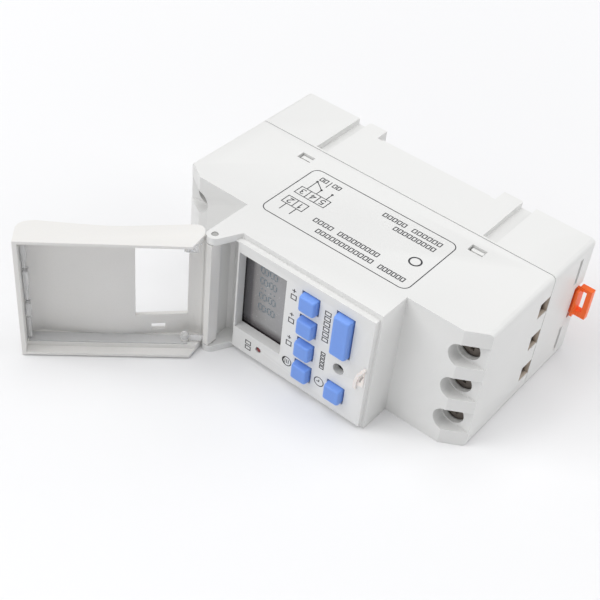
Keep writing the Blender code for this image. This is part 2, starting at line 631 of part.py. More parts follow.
# ---------------------------------------------------------------- terminals
def terminal(index, sign, z):
    x = sign * SCREW_X
    half = CAGE_WIDTH / 2
    half_x = CAGE_LENGTH / 2
    cage = box(f"terminal_cage_{index}", (x - half_x, x + half_x), (CAGE_TOP, CAGE_BOTTOM),
               (z - half, z + half), PARTS)
    cut(cage,
        box(f"cage_mouth_{index}", (x - 9.0, x + 9.0), (CAGE_TOP + 2.4, CAGE_BOTTOM - 1.3),
            (z - half + 0.9, z + half - 0.9)),
        rod(f"cage_thread_{index}", "Y", (x, z), (CAGE_TOP - 2.0, CAGE_TOP + 4.0),
            (SCREW_R + 0.25, SCREW_R + 0.25), steps=16))
    finish(cage, BRASS, (x, CAGE_TOP, z))
    screw = rod(f"terminal_screw_{index}", "Y", (x, z), (HEAD_TOP, HEAD_TOP + 2.2),
                (HEAD_R, HEAD_R), PARTS)
    add(screw, rod(f"screw_shank_{index}", "Y", (x, z), (HEAD_TOP + 1.0, 31.9),
                   (SCREW_R, SCREW_R), steps=16))
    cut(screw,
        box(f"screw_slot_{index}", (x - 4.0, x + 4.0), (HEAD_TOP - 1.0, HEAD_TOP + 1.1),
            (z - 0.45, z + 0.45)),
        box(f"screw_cross_{index}", (x - 0.45, x + 0.45), (HEAD_TOP - 1.0, HEAD_TOP + 1.1),
            (z - 1.7, z + 1.7)))
    finish(screw, STEEL, (x, HEAD_TOP, z))
    strip_x = ordered(sign * 30.6, sign * 41.0)
    strip = box(f"contact_strip_{index}", strip_x, STRIP_DEPTH, (z - 2.0, z + 2.0), PARTS)
    finish(strip, SILVER)


# ---------------------------------------------------------------- rail clip
def din_clip():
    nose = [(16.5, 54.9), (18.2, 54.9), (18.2, 56.9), (17.4, 56.9), (16.5, 55.9)]
    clip = box("din_clip", (17.9, 45.0), (54.95, 55.85), (-4.1, 4.1), PARTS)
    add(clip,
        box("clip_spine", (17.9, 45.0), (55.7, 56.9), (-3.2, 3.2)),
        prism("clip_nose", nose, (-3.2, 3.2)),
        box("clip_loop", (43.8, 47.1), (55.2, 56.9), (-4.4, 4.4)),
        box("clip_lip", (43.75, 44.4), (53.5, 56.0), (-3.9, 3.9)))
    cut(clip, box("clip_slot", (44.4, 45.8), (50.0, 60.0), (-2.7, 3.5)))
    return finish(clip, ORANGE, (17.9, 56.0, 0.0))


def build():
    front_housing()
    rear_base()
    lid()
    for name, x, z, length in button_places():
        push_button(name, x, z, length)
    keypad_sheet()
    display_parts()
    reset_switch()
    power_parts()
    relay_parts()
    for index, (sign, z) in enumerate(end_sides(), 1):
        terminal(index, sign, z)
    din_clip()


build()
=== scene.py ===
"""DIN rail weekly timer: the visual model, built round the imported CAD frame.

Lengths are millimetres in this file. A place is given as (x, depth, z): depth is measured
backwards from the nose face of the housing, and the frame's origin is the rail seat.
"""
import json
import math

import bmesh
import bpy
from mathutils import Matrix, Vector


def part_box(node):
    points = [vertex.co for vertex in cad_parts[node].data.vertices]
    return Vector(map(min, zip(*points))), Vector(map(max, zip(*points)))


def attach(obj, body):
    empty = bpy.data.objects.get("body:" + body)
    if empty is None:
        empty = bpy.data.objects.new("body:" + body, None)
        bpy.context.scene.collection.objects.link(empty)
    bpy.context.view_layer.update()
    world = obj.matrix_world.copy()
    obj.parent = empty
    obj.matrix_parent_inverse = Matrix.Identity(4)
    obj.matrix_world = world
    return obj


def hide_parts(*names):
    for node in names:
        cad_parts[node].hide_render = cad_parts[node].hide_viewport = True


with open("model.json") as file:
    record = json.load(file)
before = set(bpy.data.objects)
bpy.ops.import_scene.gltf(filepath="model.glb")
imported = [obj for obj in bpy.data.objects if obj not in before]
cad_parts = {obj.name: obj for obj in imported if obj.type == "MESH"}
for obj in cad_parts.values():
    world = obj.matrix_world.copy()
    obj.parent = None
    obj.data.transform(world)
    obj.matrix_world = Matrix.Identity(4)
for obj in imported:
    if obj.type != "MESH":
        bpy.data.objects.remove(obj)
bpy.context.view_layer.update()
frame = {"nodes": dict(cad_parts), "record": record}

MM = 0.001
HOUSING_LOW, HOUSING_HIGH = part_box("front_housing")
LABEL_Z = HOUSING_HIGH.z / MM
FLOOR_Z = HOUSING_LOW.z / MM
SEAT_DEPTH = 53.3          # rail seat
PANEL_DEPTH = -1.5         # face of the key panel
DISPLAY_DEPTH = 1.4        # front of the display glass
DISPLAY_X = (-16.1, -2.1)  # the glass that shows, from the hinge side
DISPLAY_LOW_Z = (-9.8, -7.0)  # its low edge, in the shade of the window's frame
ENTRY_MOUTH_X = 43.25      # the wire entries, from their mouths at both ends
ENTRY_DEPTHS = (33.5, 38.5)
ENTRY_HALF_Z = 13.0
FRONT_ZONE = 13.0          # edges nearer the front than this get the wider rounding
HINGE_X = -21.0
HINGE_DEPTH = -4.75
LID_OPEN_DEG = 137.6
LID_END = 43.4             # inner face of the lid's free end, along the lid from its hinge
KEY_FLANGE = 0.6           # how far a key's flange reaches past its cap
KEY_PROUD = 0.15           # how far a cap's face stands past the plain solid
WORLD_STRENGTH = 0.385
WORLD_COLOR = (0.985, 0.99, 1.0, 1.0)
AIM = (0.0, -0.03, 0.0)    # where the lights point, in metres

INK_PROUD = 0.015          # print stands this far off its face
PRINT_LINE = 0.24
BUTTON_PLUS_Z = (-2.5, 4.65, 11.8)
PLUS_X = 0.2
BLOCK_PITCH = 0.85         # of the block's height
BLOCK_GAP = 0.36           # of the pitch
BLOCK_LINE = 0.26
LABEL_WORD_TALL = 1.55
# Depth of each line of words on the label, and the (start, end) of its words along x.
WORD_LINES = [
    (12.7, [(19.4, 12.1), (10.6, -5.7)]),
    (15.5, [(10.3, -1.4), (-2.9, -8.6)]),
    (26.2, [(18.4, 6.6)]),
    (28.7, [(18.6, 10.2), (8.6, 1.8)]),
    (28.9, [(-10.9, -13.4), (-14.8, -17.2)]),
]
scene = bpy.context.scene


def spot(x, depth, z):
    """A place in the frame, in metres."""
    return Vector((x * MM, (depth - SEAT_DEPTH) * MM, z * MM))


# ---------------------------------------------------------------- node materials
class Nodes:
    """A short way to write node trees, for a new material's name or a material made before."""

    def __init__(self, start):
        self.material = bpy.data.materials.new(start) if isinstance(start, str) else start
        self.material.use_nodes = True
        self.tree = self.material.node_tree
        self.shader = self.tree.nodes["Principled BSDF"]
        self.place = self.add("ShaderNodeTexCoord").outputs["Object"]

    def add(self, kind, **settings):
        node = self.tree.nodes.new(kind)
        for key, value in settings.items():
            setattr(node, key, value)
        return node

    def link(self, source, target):
        self.tree.links.new(source, target)

    def noise(self, scale, detail=3.0, roughness=0.55, stretch=None):
        node = self.add("ShaderNodeTexNoise")
        node.inputs["Scale"].default_value = scale
        node.inputs["Detail"].default_value = detail
        node.inputs["Roughness"].default_value = roughness
        place = self.place
        if stretch:
            mapping = self.add("ShaderNodeMapping")
            mapping.inputs["Scale"].default_value = stretch
            self.link(self.place, mapping.inputs["Vector"])
            place = mapping.outputs["Vector"]
        self.link(place, node.inputs["Vector"])
        return node.outputs["Fac"]

    def ramp(self, source, stops):
        node = self.add("ShaderNodeValToRGB")
        ramp = node.color_ramp
        while len(ramp.elements) < len(stops):
            ramp.elements.new(0.5)
        for element, (at, value) in zip(ramp.elements, stops):
            element.position = at
            element.color = value if len(value) == 4 else (*value, 1.0)
        self.link(source, node.inputs["Fac"])
        return node.outputs["Color"]

    def mix(self, factor, first, second, blend="MIX"):
        node = self.add("ShaderNodeMix", data_type="RGBA", blend_type=blend)
        for key, value in ((0, factor), (6, first), (7, second)):
            if isinstance(value, bpy.types.NodeSocket):
                self.link(value, node.inputs[key])
            elif key == 0:
                node.inputs[key].default_value = value
            else:
                node.inputs[key].default_value = (*value, 1.0)
        return node.outputs[2]

    def span(self, source, low, high, start=0.0, end=1.0):
        """Maps start..end to low..high, and stays there outside."""
        node = self.add("ShaderNodeMapRange")
        node.inputs["From Min"].default_value = start
        node.inputs["From Max"].default_value = end
        node.inputs["To Min"].default_value = low
        node.inputs["To Max"].default_value = high
        self.link(source, node.inputs["Value"])
        return node.outputs["Result"]

    def calc(self, operation, first, second=0.0):
        node = self.add("ShaderNodeMath", operation=operation)
        for socket, value in zip(node.inputs, (first, second)):
            if isinstance(value, bpy.types.NodeSocket):
                self.link(value, socket)
            else:
                socket.default_value = value
        return node.outputs[0]

    def axis(self, letter):
        split = self.add("ShaderNodeSeparateXYZ")
        self.link(self.place, split.inputs[0])
        return split.outputs[letter]

    def within(self, letter, low, high):
        """1 where the coordinate lies between two places in millimetres, else 0."""
        value = self.axis(letter)
        return self.calc("MULTIPLY", self.calc("GREATER_THAN", value, low * MM),
                         self.calc("LESS_THAN", value, high * MM))

    def bump(self, height, strength, distance, before=None):
        node = self.add("ShaderNodeBump")
        node.inputs["Strength"].default_value = strength
        node.inputs["Distance"].default_value = distance
        self.link(height, node.inputs["Height"])
        if before is not None:
            self.link(before, node.inputs["Normal"])
        return node.outputs["Normal"]

    def edges(self, low=0.5, high=0.6):
        """1 on convex edges, 0 elsewhere."""
        geometry = self.add("ShaderNodeNewGeometry")
        return self.ramp(geometry.outputs["Pointiness"], [(low, (0, 0, 0)), (high, (1, 1, 1))])

    def set(self, **values):
        """Shader inputs by name: a socket is linked, a plain value is set on the shader itself."""
        for key, value in values.items():
            socket = self.shader.inputs[key.replace("_", " ")]
            if isinstance(value, bpy.types.NodeSocket):
                self.link(value, socket)
            else:
                socket.default_value = value
        return self


def shade(color, factor):
    return tuple(min(1.0, c * factor) for c in color)


def plastic(name, color, rough, grain=2600.0, depth=0.00002, spread=0.03, edge=1.06, soft=0.0,
            glow=0.0):
    """Moulded plastic: fine spark-eroded grain, faint flow tone, and paler convex edges that are a painted
    highlight.
    """
    n = Nodes(name)
    tone = n.mix(n.noise(45.0, 2.0), shade(color, 1.0 - spread), shade(color, 1.0 + spread))
    speck = n.ramp(n.noise(5200.0, 1.0), [(0.30, (0.97, 0.97, 0.97)), (0.5, (1, 1, 1))])
    tone = n.mix(1.0, tone, speck, "MULTIPLY")
    # Convex edges are painted paler by the factor `edge`: a painted highlight.
    tone = n.mix(n.edges(), tone, shade(color, edge))
    rough_map = n.span(n.noise(160.0, 4.0), rough - 0.05, rough + 0.06)
    grain_map = n.noise(grain, 2.0, 0.6)
    wave = n.noise(70.0, 2.0)
    normal = n.bump(wave, 0.12, 0.0003)
    normal = n.bump(grain_map, 0.35, depth, normal)
    n.set(Base_Color=tone, Roughness=rough_map, Normal=normal, Specular_IOR_Level=0.42)
    if soft:
        n.set(Subsurface_Weight=soft, Subsurface_Radius=(0.0012, 0.0010, 0.0008))
    # A glow above nought is a painted glow: emission in the plastic's own tone, standing in for light coming
    # through it.
    if glow:
        n.set(Emission_Color=tone, Emission_Strength=glow)
    return n.material


def housing_look(name, color, rough):
    """The housing's plastic; inside the wire entries it is painted brown: a painted reflection of the brass
    terminals, with painted shade that is darkest deep in.
    """
    n = Nodes(plastic(name, color, rough))
    inside = n.within("X", -ENTRY_MOUTH_X, ENTRY_MOUTH_X)
    shallow, deep = (depth - SEAT_DEPTH for depth in ENTRY_DEPTHS)
    for axis, low, high in (("Y", shallow, deep), ("Z", -ENTRY_HALF_Z, ENTRY_HALF_Z)):
        inside = n.calc("MULTIPLY", inside, n.within(axis, low, high))
    # Painted reflection and painted shade: a brown that is pale at the entries' mouths and dark deeper in.
    near_mouth = n.span(n.calc("ABSOLUTE", n.axis("X")), 0.0, 1.0,
                        (ENTRY_MOUTH_X - 1.35) * MM, (ENTRY_MOUTH_X - 0.55) * MM)
    brown = n.mix(near_mouth, (0.16, 0.11, 0.08), (0.68, 0.59, 0.50))
    plain = n.shader.inputs["Base Color"].links[0].from_socket
    n.set(Base_Color=n.mix(inside, plain, brown))
    return n.material


def metal(name, color, rough, stretch=(1.0, 1.0, 1.0), dark=0.55, shine=1.0):
    """Plated or drawn metal with fine scratches and dull patches."""
    n = Nodes(name)
    stain = n.ramp(n.noise(330.0, 5.0), [(0.35, shade(color, dark)), (0.62, color)])
    scratch = n.noise(2400.0, 3.0, 0.6, stretch)
    tone = n.mix(n.span(scratch, 0.0, 0.35), stain, shade(color, 1.25))
    rough_map = n.span(n.noise(500.0, 4.0), rough - 0.08, rough + 0.15)
    n.set(Base_Color=tone, Metallic=shine, Roughness=rough_map, Normal=n.bump(scratch, 0.25, 0.00003))
    return n.material


def board_look(name, color, trace):
    """Circuit board: a fine grid of paler tracks under the lacquer."""
    n = Nodes(name)
    brick = n.add("ShaderNodeTexBrick")
    brick.inputs["Scale"].default_value = 160.0
    brick.inputs["Mortar Size"].default_value = 0.08
    brick.inputs["Color1"].default_value = (*color, 1.0)
    brick.inputs["Color2"].default_value = (*shade(color, 1.15), 1.0)
    brick.inputs["Mortar"].default_value = (*trace, 1.0)
    n.link(n.place, brick.inputs["Vector"])
    tone = n.mix(n.span(n.noise(90.0), 0.0, 0.2), brick.outputs["Color"], shade(color, 0.6))
    n.set(Base_Color=tone, Roughness=n.span(n.noise(700.0), 0.3, 0.5),
          Normal=n.bump(brick.outputs["Fac"], 0.3, 0.00003))
    return n.material


def banded(name, color, other, scale, rough):
    """Thin bands across Y, for zebra strips and wound copper."""
    n = Nodes(name)
    wave = n.add("ShaderNodeTexWave", wave_type="BANDS", bands_direction="Y")
    wave.inputs["Scale"].default_value = scale
    wave.inputs["Distortion"].default_value = 0.3
    n.link(n.place, wave.inputs["Vector"])
    tone = n.mix(wave.outputs["Fac"], color, other)
    n.set(Base_Color=tone, Roughness=n.span(n.noise(400.0), rough - 0.05, rough + 0.1),
          Normal=n.bump(wave.outputs["Fac"], 0.4, 0.00006))
    return n.material


def display_look():
    """Grey display: dark down the hinge side and along the low edge, with a faint drift of tone."""
    n = Nodes("display_grey")
    across = n.span(n.axis("X"), 0.0, 1.0, DISPLAY_X[0] * MM, DISPLAY_X[1] * MM)
    base = n.ramp(across, [(0.0, (0.060, 0.058, 0.062)), (0.15, (0.095, 0.090, 0.096)),
                           (0.22, (0.24, 0.232, 0.230)), (0.5, (0.34, 0.342, 0.342)),
                           (1.0, (0.340, 0.338, 0.348))])
    cloud = n.mix(n.noise(110.0, 3.0), (0.92, 0.90, 0.88), (1.06, 1.07, 1.10))
    tone = n.mix(1.0, base, cloud, "MULTIPLY")
    upward = n.span(n.axis("Z"), 0.0, 1.0, DISPLAY_LOW_Z[0] * MM, DISPLAY_LOW_Z[1] * MM)
    shadow = n.ramp(upward, [(0.0, (0.14, 0.12, 0.13)), (0.45, (0.40, 0.37, 0.38)), (1.0, (1.0, 1.0, 1.0))])
    tone = n.mix(1.0, tone, shadow, "MULTIPLY")
    fleck = n.ramp(n.noise(2500.0, 2.0), [(0.66, (1.0, 1.0, 1.0)), (0.72, (1.5, 1.5, 1.5))])
    tone = n.mix(1.0, tone, fleck, "MULTIPLY")
    n.set(Base_Color=tone, Roughness=n.span(n.noise(900.0), 0.10, 0.18), Coat_Weight=0.4, Coat_Roughness=0.04)
    return n.material


def clear_look():
    """Clear hard plastic with fine scratches."""
    n = Nodes("clear_plastic")
    tone = n.mix(n.noise(300.0, 2.0), (0.955, 0.96, 0.97), (0.99, 0.99, 0.99))
    n.set(Base_Color=tone, Roughness=n.span(n.noise(800.0), 0.04, 0.16),
          Normal=n.bump(n.noise(900.0, 2.0), 0.3, 0.0001), Transmission_Weight=0.6, IOR=1.3, Coat_Weight=0.5)
    return n.material


def ink(name, color):
    """Matt print with thin places."""
    n = Nodes(name)
    wear = n.ramp(n.noise(2600.0, 2.0), [(0.25, shade(color, 1.9)), (0.5, color)])
    n.set(Base_Color=wear, Roughness=n.span(n.noise(500.0), 0.5, 0.65))
    return n.material


WHITE = housing_look("housing_plastic", (0.760, 0.760, 0.750), 0.42)
LID_WHITE = plastic("lid_plastic", (0.780, 0.770, 0.750), 0.40, soft=0.04)
BLUE = plastic("button_blue", (0.175, 0.335, 0.82), 0.40, grain=3400.0, spread=0.04, edge=1.25, soft=0.05)
# The clip has a faint painted glow, for light shining through its translucent orange plastic.
ORANGE = plastic("clip_orange", (1.0, 0.150, 0.025), 0.36, grain=2200.0, spread=0.05, edge=1.1, soft=0.35,
                 glow=0.07)
PALE = plastic("latch_pale", (0.86, 0.81, 0.78), 0.26, soft=0.3)
SCREW = metal("screw_steel", (0.25, 0.215, 0.19), 0.5, shine=0.35)
BRASS = metal("cage_brass", (0.70, 0.50, 0.25), 0.32, dark=0.7)
TIN = metal("tinned_copper", (0.70, 0.69, 0.66), 0.28, (1.0, 6.0, 6.0), 0.8)
NICKEL = metal("nickel_plate", (0.62, 0.62, 0.63), 0.25)
PIN = plastic("hinge_pin_grey", (0.40, 0.40, 0.39), 0.42)
CLEAR = clear_look()
# Painted shade for the latch's slot, made like matt print.
SLOT_SHADE = ink("slot_shade", (0.40, 0.36, 0.34))
PRINT = ink("print_grey", (0.035, 0.035, 0.040))
DISPLAY = display_look()
GHOST = ink("segment_ghost", (0.135, 0.175, 0.205))
BLACK = plastic("black_moulding", (0.022, 0.022, 0.024), 0.38, edge=1.6)
LED_RED = plastic("led_red", (0.20, 0.012, 0.018), 0.16, grain=900.0, soft=0.1)
FRAME_WHITE = plastic("frame_white", (0.82, 0.82, 0.80), 0.5)
SILICONE = plastic("keypad_silicone", (0.62, 0.64, 0.67), 0.62, soft=0.3)
GREEN_BOARD = board_look("green_board", (0.02, 0.15, 0.06), (0.05, 0.28, 0.12))
BROWN_BOARD = board_look("brown_board", (0.33, 0.20, 0.08), (0.45, 0.30, 0.14))
YELLOW = plastic("capacitor_yellow", (0.72, 0.46, 0.06), 0.34)
SLEEVE = plastic("capacitor_sleeve", (0.02, 0.035, 0.11), 0.28)
DIPPED = plastic("varistor_blue", (0.05, 0.13, 0.38), 0.35, grain=700.0, depth=0.0001)
CERAMIC = plastic("resistor_ceramic", (0.52, 0.42, 0.28), 0.55)
SMOKE = plastic("relay_cover", (0.03, 0.08, 0.27), 0.25)
COPPER = banded("wound_copper", (0.62, 0.20, 0.07), (0.36, 0.10, 0.03), 900.0, 0.32)
ZEBRA = banded("zebra_rubber", (0.72, 0.42, 0.46), (0.05, 0.05, 0.05), 1500.0, 0.7)

SLOT_LOOKS = {
    "housing": WHITE, "lid": LID_WHITE, "clip": ORANGE, "lcd": DISPLAY, "white_plastic": FRAME_WHITE,
    "zebra": ZEBRA, "circuit_board": GREEN_BOARD, "power_board": BROWN_BOARD, "silicone": SILICONE,
    "button": BLUE, "black_plastic": BLACK, "led": LED_RED, "film_capacitor": YELLOW,
    "capacitor_can": SLEEVE, "varistor": DIPPED, "resistor": CERAMIC, "nickel_steel": NICKEL,
    "relay_cover": SMOKE, "coil": COPPER, "steel": SCREW, "brass": BRASS, "contact_strip": TIN,
}
NODE_SLOT = {part["node"]: part["material_slot"] for part in frame["record"]["subparts"]}
NODE_BODY = {node: body for body, nodes in frame["record"]["behaviour"]["bodies"].items() for node in nodes}
for node_name, node in frame["nodes"].items():
    node.data.materials.clear()
    node.data.materials.append(SLOT_LOOKS[NODE_SLOT[node_name]])
    node.data.shade_smooth()
    node.data.set_sharp_from_angle(angle=math.radians(35))


# ---------------------------------------------------------------- shapes
def keep(name, mesh, look, body, replaces=()):
    """Puts a finished mesh in the scene as a piece that rides on a CAD body."""
    mesh.materials.clear()
    mesh.materials.append(look)
    piece = bpy.data.objects.new(name, mesh)
    scene.collection.objects.link(piece)
    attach(piece, body)
    if replaces:
        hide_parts(*replaces)
    return piece


def smooth(mesh, angle=35.0):
    mesh.shade_smooth()
    mesh.set_sharp_from_angle(angle=math.radians(angle))


def bevel(piece, width, segments=2, angle=30.0):
    step = piece.modifiers.new("rounded_edges", "BEVEL")
    step.width = width * MM
    step.segments = segments
    step.limit_method = "ANGLE"
    step.angle_limit = math.radians(angle)
    step.harden_normals = True
    return piece


def refine(node, name, width, segments=3, angle=30.0, rounder=None):
    """The CAD solid with its flat faces made whole again and its edges rounded.

    `rounder` is a wider rounding, in millimetres, for the long outer edges near the front.
    """
    work = bmesh.new()
    work.from_mesh(frame["nodes"][node].data)
    bmesh.ops.remove_doubles(work, verts=work.verts, dist=2e-6)
    bmesh.ops.dissolve_limit(work, angle_limit=math.radians(0.5), verts=work.verts, edges=work.edges)
    if rounder:
        weigh_edges(work, width / rounder, angle)
    mesh = bpy.data.meshes.new(name)
    work.to_mesh(mesh)
    work.free()
    smooth(mesh)
    slot = NODE_SLOT[node]
    piece = keep(name, mesh, SLOT_LOOKS[slot], NODE_BODY[node], [node])
    if not rounder:
        return bevel(piece, width, segments, angle)
    bevel(piece, rounder, segments, angle).modifiers["rounded_edges"].limit_method = "WEIGHT"
    return piece


def weigh_edges(work, plain, angle):
    """Bevel weights: 1 for long convex edges near the front, `plain` for the other sharp edges."""
    weights = work.edges.layers.float.new("bevel_weight_edge")
    for edge in work.edges:
        if len(edge.link_faces) != 2 or edge.calc_face_angle() < math.radians(angle):
            continue
        middle = (edge.verts[0].co + edge.verts[1].co) / 2
        front = middle.y / MM + SEAT_DEPTH < FRONT_ZONE
        edge[weights] = 1.0 if front and edge.is_convex and edge.calc_length() > 6 * MM else plain


def from_work(name, work):
    """Ends a bmesh: a mesh with its faces turned outwards."""
    bmesh.ops.recalc_face_normals(work, faces=work.faces)
    mesh = bpy.data.meshes.new(name)
    work.to_mesh(mesh)
    work.free()
    return mesh


def closed_skin(name, rings, angle=35.0):
    """A closed mesh over rings of places; each ring has as many places as the next."""
    work = bmesh.new()
    rings = [[work.verts.new(place) for place in ring] for ring in rings]
    for a, b in zip(rings, rings[1:]):
        for i in range(len(a)):
            j = (i + 1) % len(a)
            work.faces.new((a[i], a[j], b[j], b[i]))
    work.faces.new(rings[0])
    work.faces.new(rings[-1])
    mesh = from_work(name, work)
    smooth(mesh, angle)
    return mesh


def on_label(x, depth):
    return spot(x, depth, LABEL_Z + INK_PROUD)


def on_panel(x, z):
    return spot(x, PANEL_DEPTH - INK_PROUD, z)


def on_display(x, z):
    return spot(x, DISPLAY_DEPTH - INK_PROUD, z)


def ribbon(work, points, width, place=on_label, closed=False):
    """A flat printed line of constant width through the points. `place` turns a point into a spot."""
    count = len(points)
    rings = []
    for i, point in enumerate(points):
        before = points[i - 1] if closed or i else None
        after = points[(i + 1) % count] if closed or i < count - 1 else None
        sides = [side_of(before, point)] if before else []
        sides += [side_of(point, after)] if after else []
        middle = sum(sides, Vector((0.0, 0.0))).normalized()
        reach = width / 2 / max(0.35, middle.dot(sides[0]))
        rings.append([work.verts.new(place(point[0] + s * middle.x * reach, point[1] + s * middle.y * reach))
                      for s in (-1, 1)])
    for i in range(count if closed else count - 1):
        a, b = rings[i], rings[(i + 1) % count]
        work.faces.new((a[0], b[0], b[1], a[1]))


def side_of(start, end):
    along = Vector((end[0] - start[0], end[1] - start[1])).normalized()
    return Vector((-along.y, along.x))


def arc(centre, radius, start, end, steps=8):
    return [(centre[0] + radius * math.cos(math.radians(start + (end - start) * i / steps)),
             centre[1] + radius * math.sin(math.radians(start + (end - start) * i / steps)))
            for i in range(steps + 1)]


def circle(centre, radius, steps=32):
    return arc(centre, radius, 0, 360, steps)[:-1]


def disc(work, centre, radius, place, steps=16):
    work.faces.new([work.verts.new(place(*point)) for point in circle(centre, radius, steps)])


def rounded_rectangle(xs, ys, radius, steps=8):
    return (arc((xs[1] - radius, ys[0] + radius), radius, -90, 0, steps)
            + arc((xs[1] - radius, ys[1] - radius), radius, 0, 90, steps)
            + arc((xs[0] + radius, ys[1] - radius), radius, 90, 180, steps)
            + arc((xs[0] + radius, ys[0] + radius), radius, 180, 270, steps))


# ---------------------------------------------------------------- housing, lid and clip
def moulded_parts():
    """The CAD solids that show, with rounded edges."""
    refine("front_housing", "front_shell", 0.26, rounder=0.5)
    refine("rear_base", "rear_shell", 0.25)
    refine("lid", "lid_shell", 0.16)
    refine("din_clip", "rail_clip", 0.22)
    for index in range(1, 6):
        refine(f"terminal_screw_{index}", f"clamp_screw_{index}", 0.10, 2)
        refine(f"terminal_cage_{index}", f"clamp_cage_{index}", 0.12, 2)


def button_caps():
    """Square keys with tapered sides, a soft front edge and a slightly dished face."""
    for node in sorted(n for n in frame["nodes"] if n.startswith("button_")):
        low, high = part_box(node)
        xs = (low.x / MM + KEY_FLANGE, high.x / MM - KEY_FLANGE)
        zs = (low.z / MM + KEY_FLANGE, high.z / MM - KEY_FLANGE)
        front = low.y / MM + SEAT_DEPTH - KEY_PROUD
        name = node.replace("button_", "key_")
        piece = keep(name, cap_mesh(name, xs, zs, front), BLUE, NODE_BODY[node], [node])
        bevel(piece, 0.10, 2, 50)


def cap_mesh(name, xs, zs, front):
    """Rounded rectangles from the flange to the middle of the face: (depth, growth, corner radius)."""
    levels = [(1.5, 0.55, 0.3), (0.8, 0.55, 0.3), (0.8, 0.0, 0.30), (front + 0.90, -0.04, 0.35),
              (front + 0.42, -0.10, 0.42), (front + 0.22, -0.16, 0.46), (front + 0.09, -0.27, 0.48),
              (front + 0.02, -0.42, 0.44), (front, -0.60, 0.36), (front + 0.02, -1.10, 0.25)]
    rings = []
    for depth, grow, radius in levels:
        outline = rounded_rectangle((xs[0] - grow, xs[1] + grow), (zs[0] - grow, zs[1] + grow), radius, 6)
        rings.append([spot(x, depth, z) for x, z in outline])
    return closed_skin(name, rings, 40)


# ---------------------------------------------------------------- print
def printed(name, work, look):
    mesh = from_work(name, work)
    return keep(name, mesh, look, "case")


def word_blocks(work, start, end, tall, place=on_label):
    """A row of small open blocks that stands for a word, one block to a letter."""
    start, end = Vector(start), Vector(end)
    count = max(1, round((end - start).length / (BLOCK_PITCH * tall)))
    step = (end - start) / count
    across = Vector((-step.y, step.x)).normalized() * (tall - BLOCK_LINE) / 2
    for i in range(count):
        first = start + step * (i + BLOCK_GAP / 2)
        last = first + step * (1 - BLOCK_GAP)
        corners = [first - across, last - across, last + across, first + across]
        ribbon(work, [tuple(corner) for corner in corners], BLOCK_LINE, place, True)


def plus_sign(work, x, z):
    reach = 0.55
    ribbon(work, [(x - reach, z), (x + reach, z)], PRINT_LINE, on_panel)
    ribbon(work, [(x, z - reach), (x, z + reach)], PRINT_LINE, on_panel)


def panel_print():
    """Plus signs, clock and list symbols, and blocks for the words beside the keys."""
    work = bmesh.new()
    for z in BUTTON_PLUS_Z:
        plus_sign(work, PLUS_X, z)
        word_blocks(work, (PLUS_X, z - 2.9), (PLUS_X, z - 0.9), 1.7, on_panel)
    list_symbol(work, PLUS_X, -10.4)
    clock_symbol(work, 9.9, -10.35)
    for start, end, tall in (((10.05, -6.1), (10.05, -0.6), 1.35), ((9.95, 2.4), (9.95, 11.9), 1.8),
                             ((-11.65, -14.9), (-11.65, -11.6), 1.8)):
        word_blocks(work, start, end, tall, on_panel)
    printed("panel_print", work, PRINT)


def list_symbol(work, x, z):
    """Three short lines in a ring that is heavier on one side."""
    ribbon(work, circle((x, z), 1.30), PRINT_LINE, on_panel, True)
    ribbon(work, arc((x, z), 1.12, 120, 250, 12), 0.34, on_panel)
    for step in (-0.5, 0.0, 0.5):
        ribbon(work, [(x + step, z - 0.6), (x + step, z + 0.6)], 0.2, on_panel)


def clock_symbol(work, x, z):
    """A ring with two hands."""
    ribbon(work, circle((x, z), 1.30), PRINT_LINE, on_panel, True)
    ribbon(work, [(x - 0.7, z), (x, z), (x, z + 0.65)], PRINT_LINE, on_panel)


# Strokes of each figure, one unit tall and its middle at the origin.
DIGIT_STROKES = {
    "1": [[(-0.22, 0.24), (0.06, 0.5), (0.06, -0.5)]],
    "2": [[(-0.28, 0.26), (-0.16, 0.45), (0.02, 0.5), (0.2, 0.44), (0.28, 0.26), (0.2, 0.04), (-0.3, -0.47),
           (0.32, -0.47)]],
    "3": [[(-0.28, 0.36), (-0.1, 0.49), (0.12, 0.47), (0.25, 0.28), (0.16, 0.09), (-0.04, 0.04)],
          [(-0.04, 0.04), (0.2, -0.02), (0.3, -0.22), (0.18, -0.43), (-0.04, -0.5), (-0.28, -0.38)]],
    "4": [[(0.12, -0.5), (0.12, 0.48), (-0.34, -0.2), (0.34, -0.2)]],
    "5": [[(0.26, 0.47), (-0.2, 0.47), (-0.26, 0.06), (0.06, 0.13), (0.27, -0.05), (0.26, -0.3),
           (0.08, -0.48), (-0.14, -0.48), (-0.3, -0.34)]],
}


def figure(work, digit, centre, height=1.8, line=0.27):
    """A terminal number, upright for a reader who faces the rail side."""
    for stroke in DIGIT_STROKES[digit]:
        ribbon(work, [(centre[0] - u * height, centre[1] - v * height) for u, v in stroke], line)


def terminal_boxes(work, digits, xs, depths):
    """A row of square boxes, one for each terminal number, counted from the hinge end."""
    corners = [(xs[0], depths[0]), (xs[1], depths[0]), (xs[1], depths[1]), (xs[0], depths[1])]
    ribbon(work, corners, PRINT_LINE, closed=True)
    pitch = (xs[1] - xs[0]) / len(digits)
    for i, digit in enumerate(digits):
        start = xs[0] + i * pitch
        if i:
            ribbon(work, [(start, depths[0]), (start, depths[1])], PRINT_LINE)
        figure(work, digit, (start + pitch / 2, sum(depths) / 2))


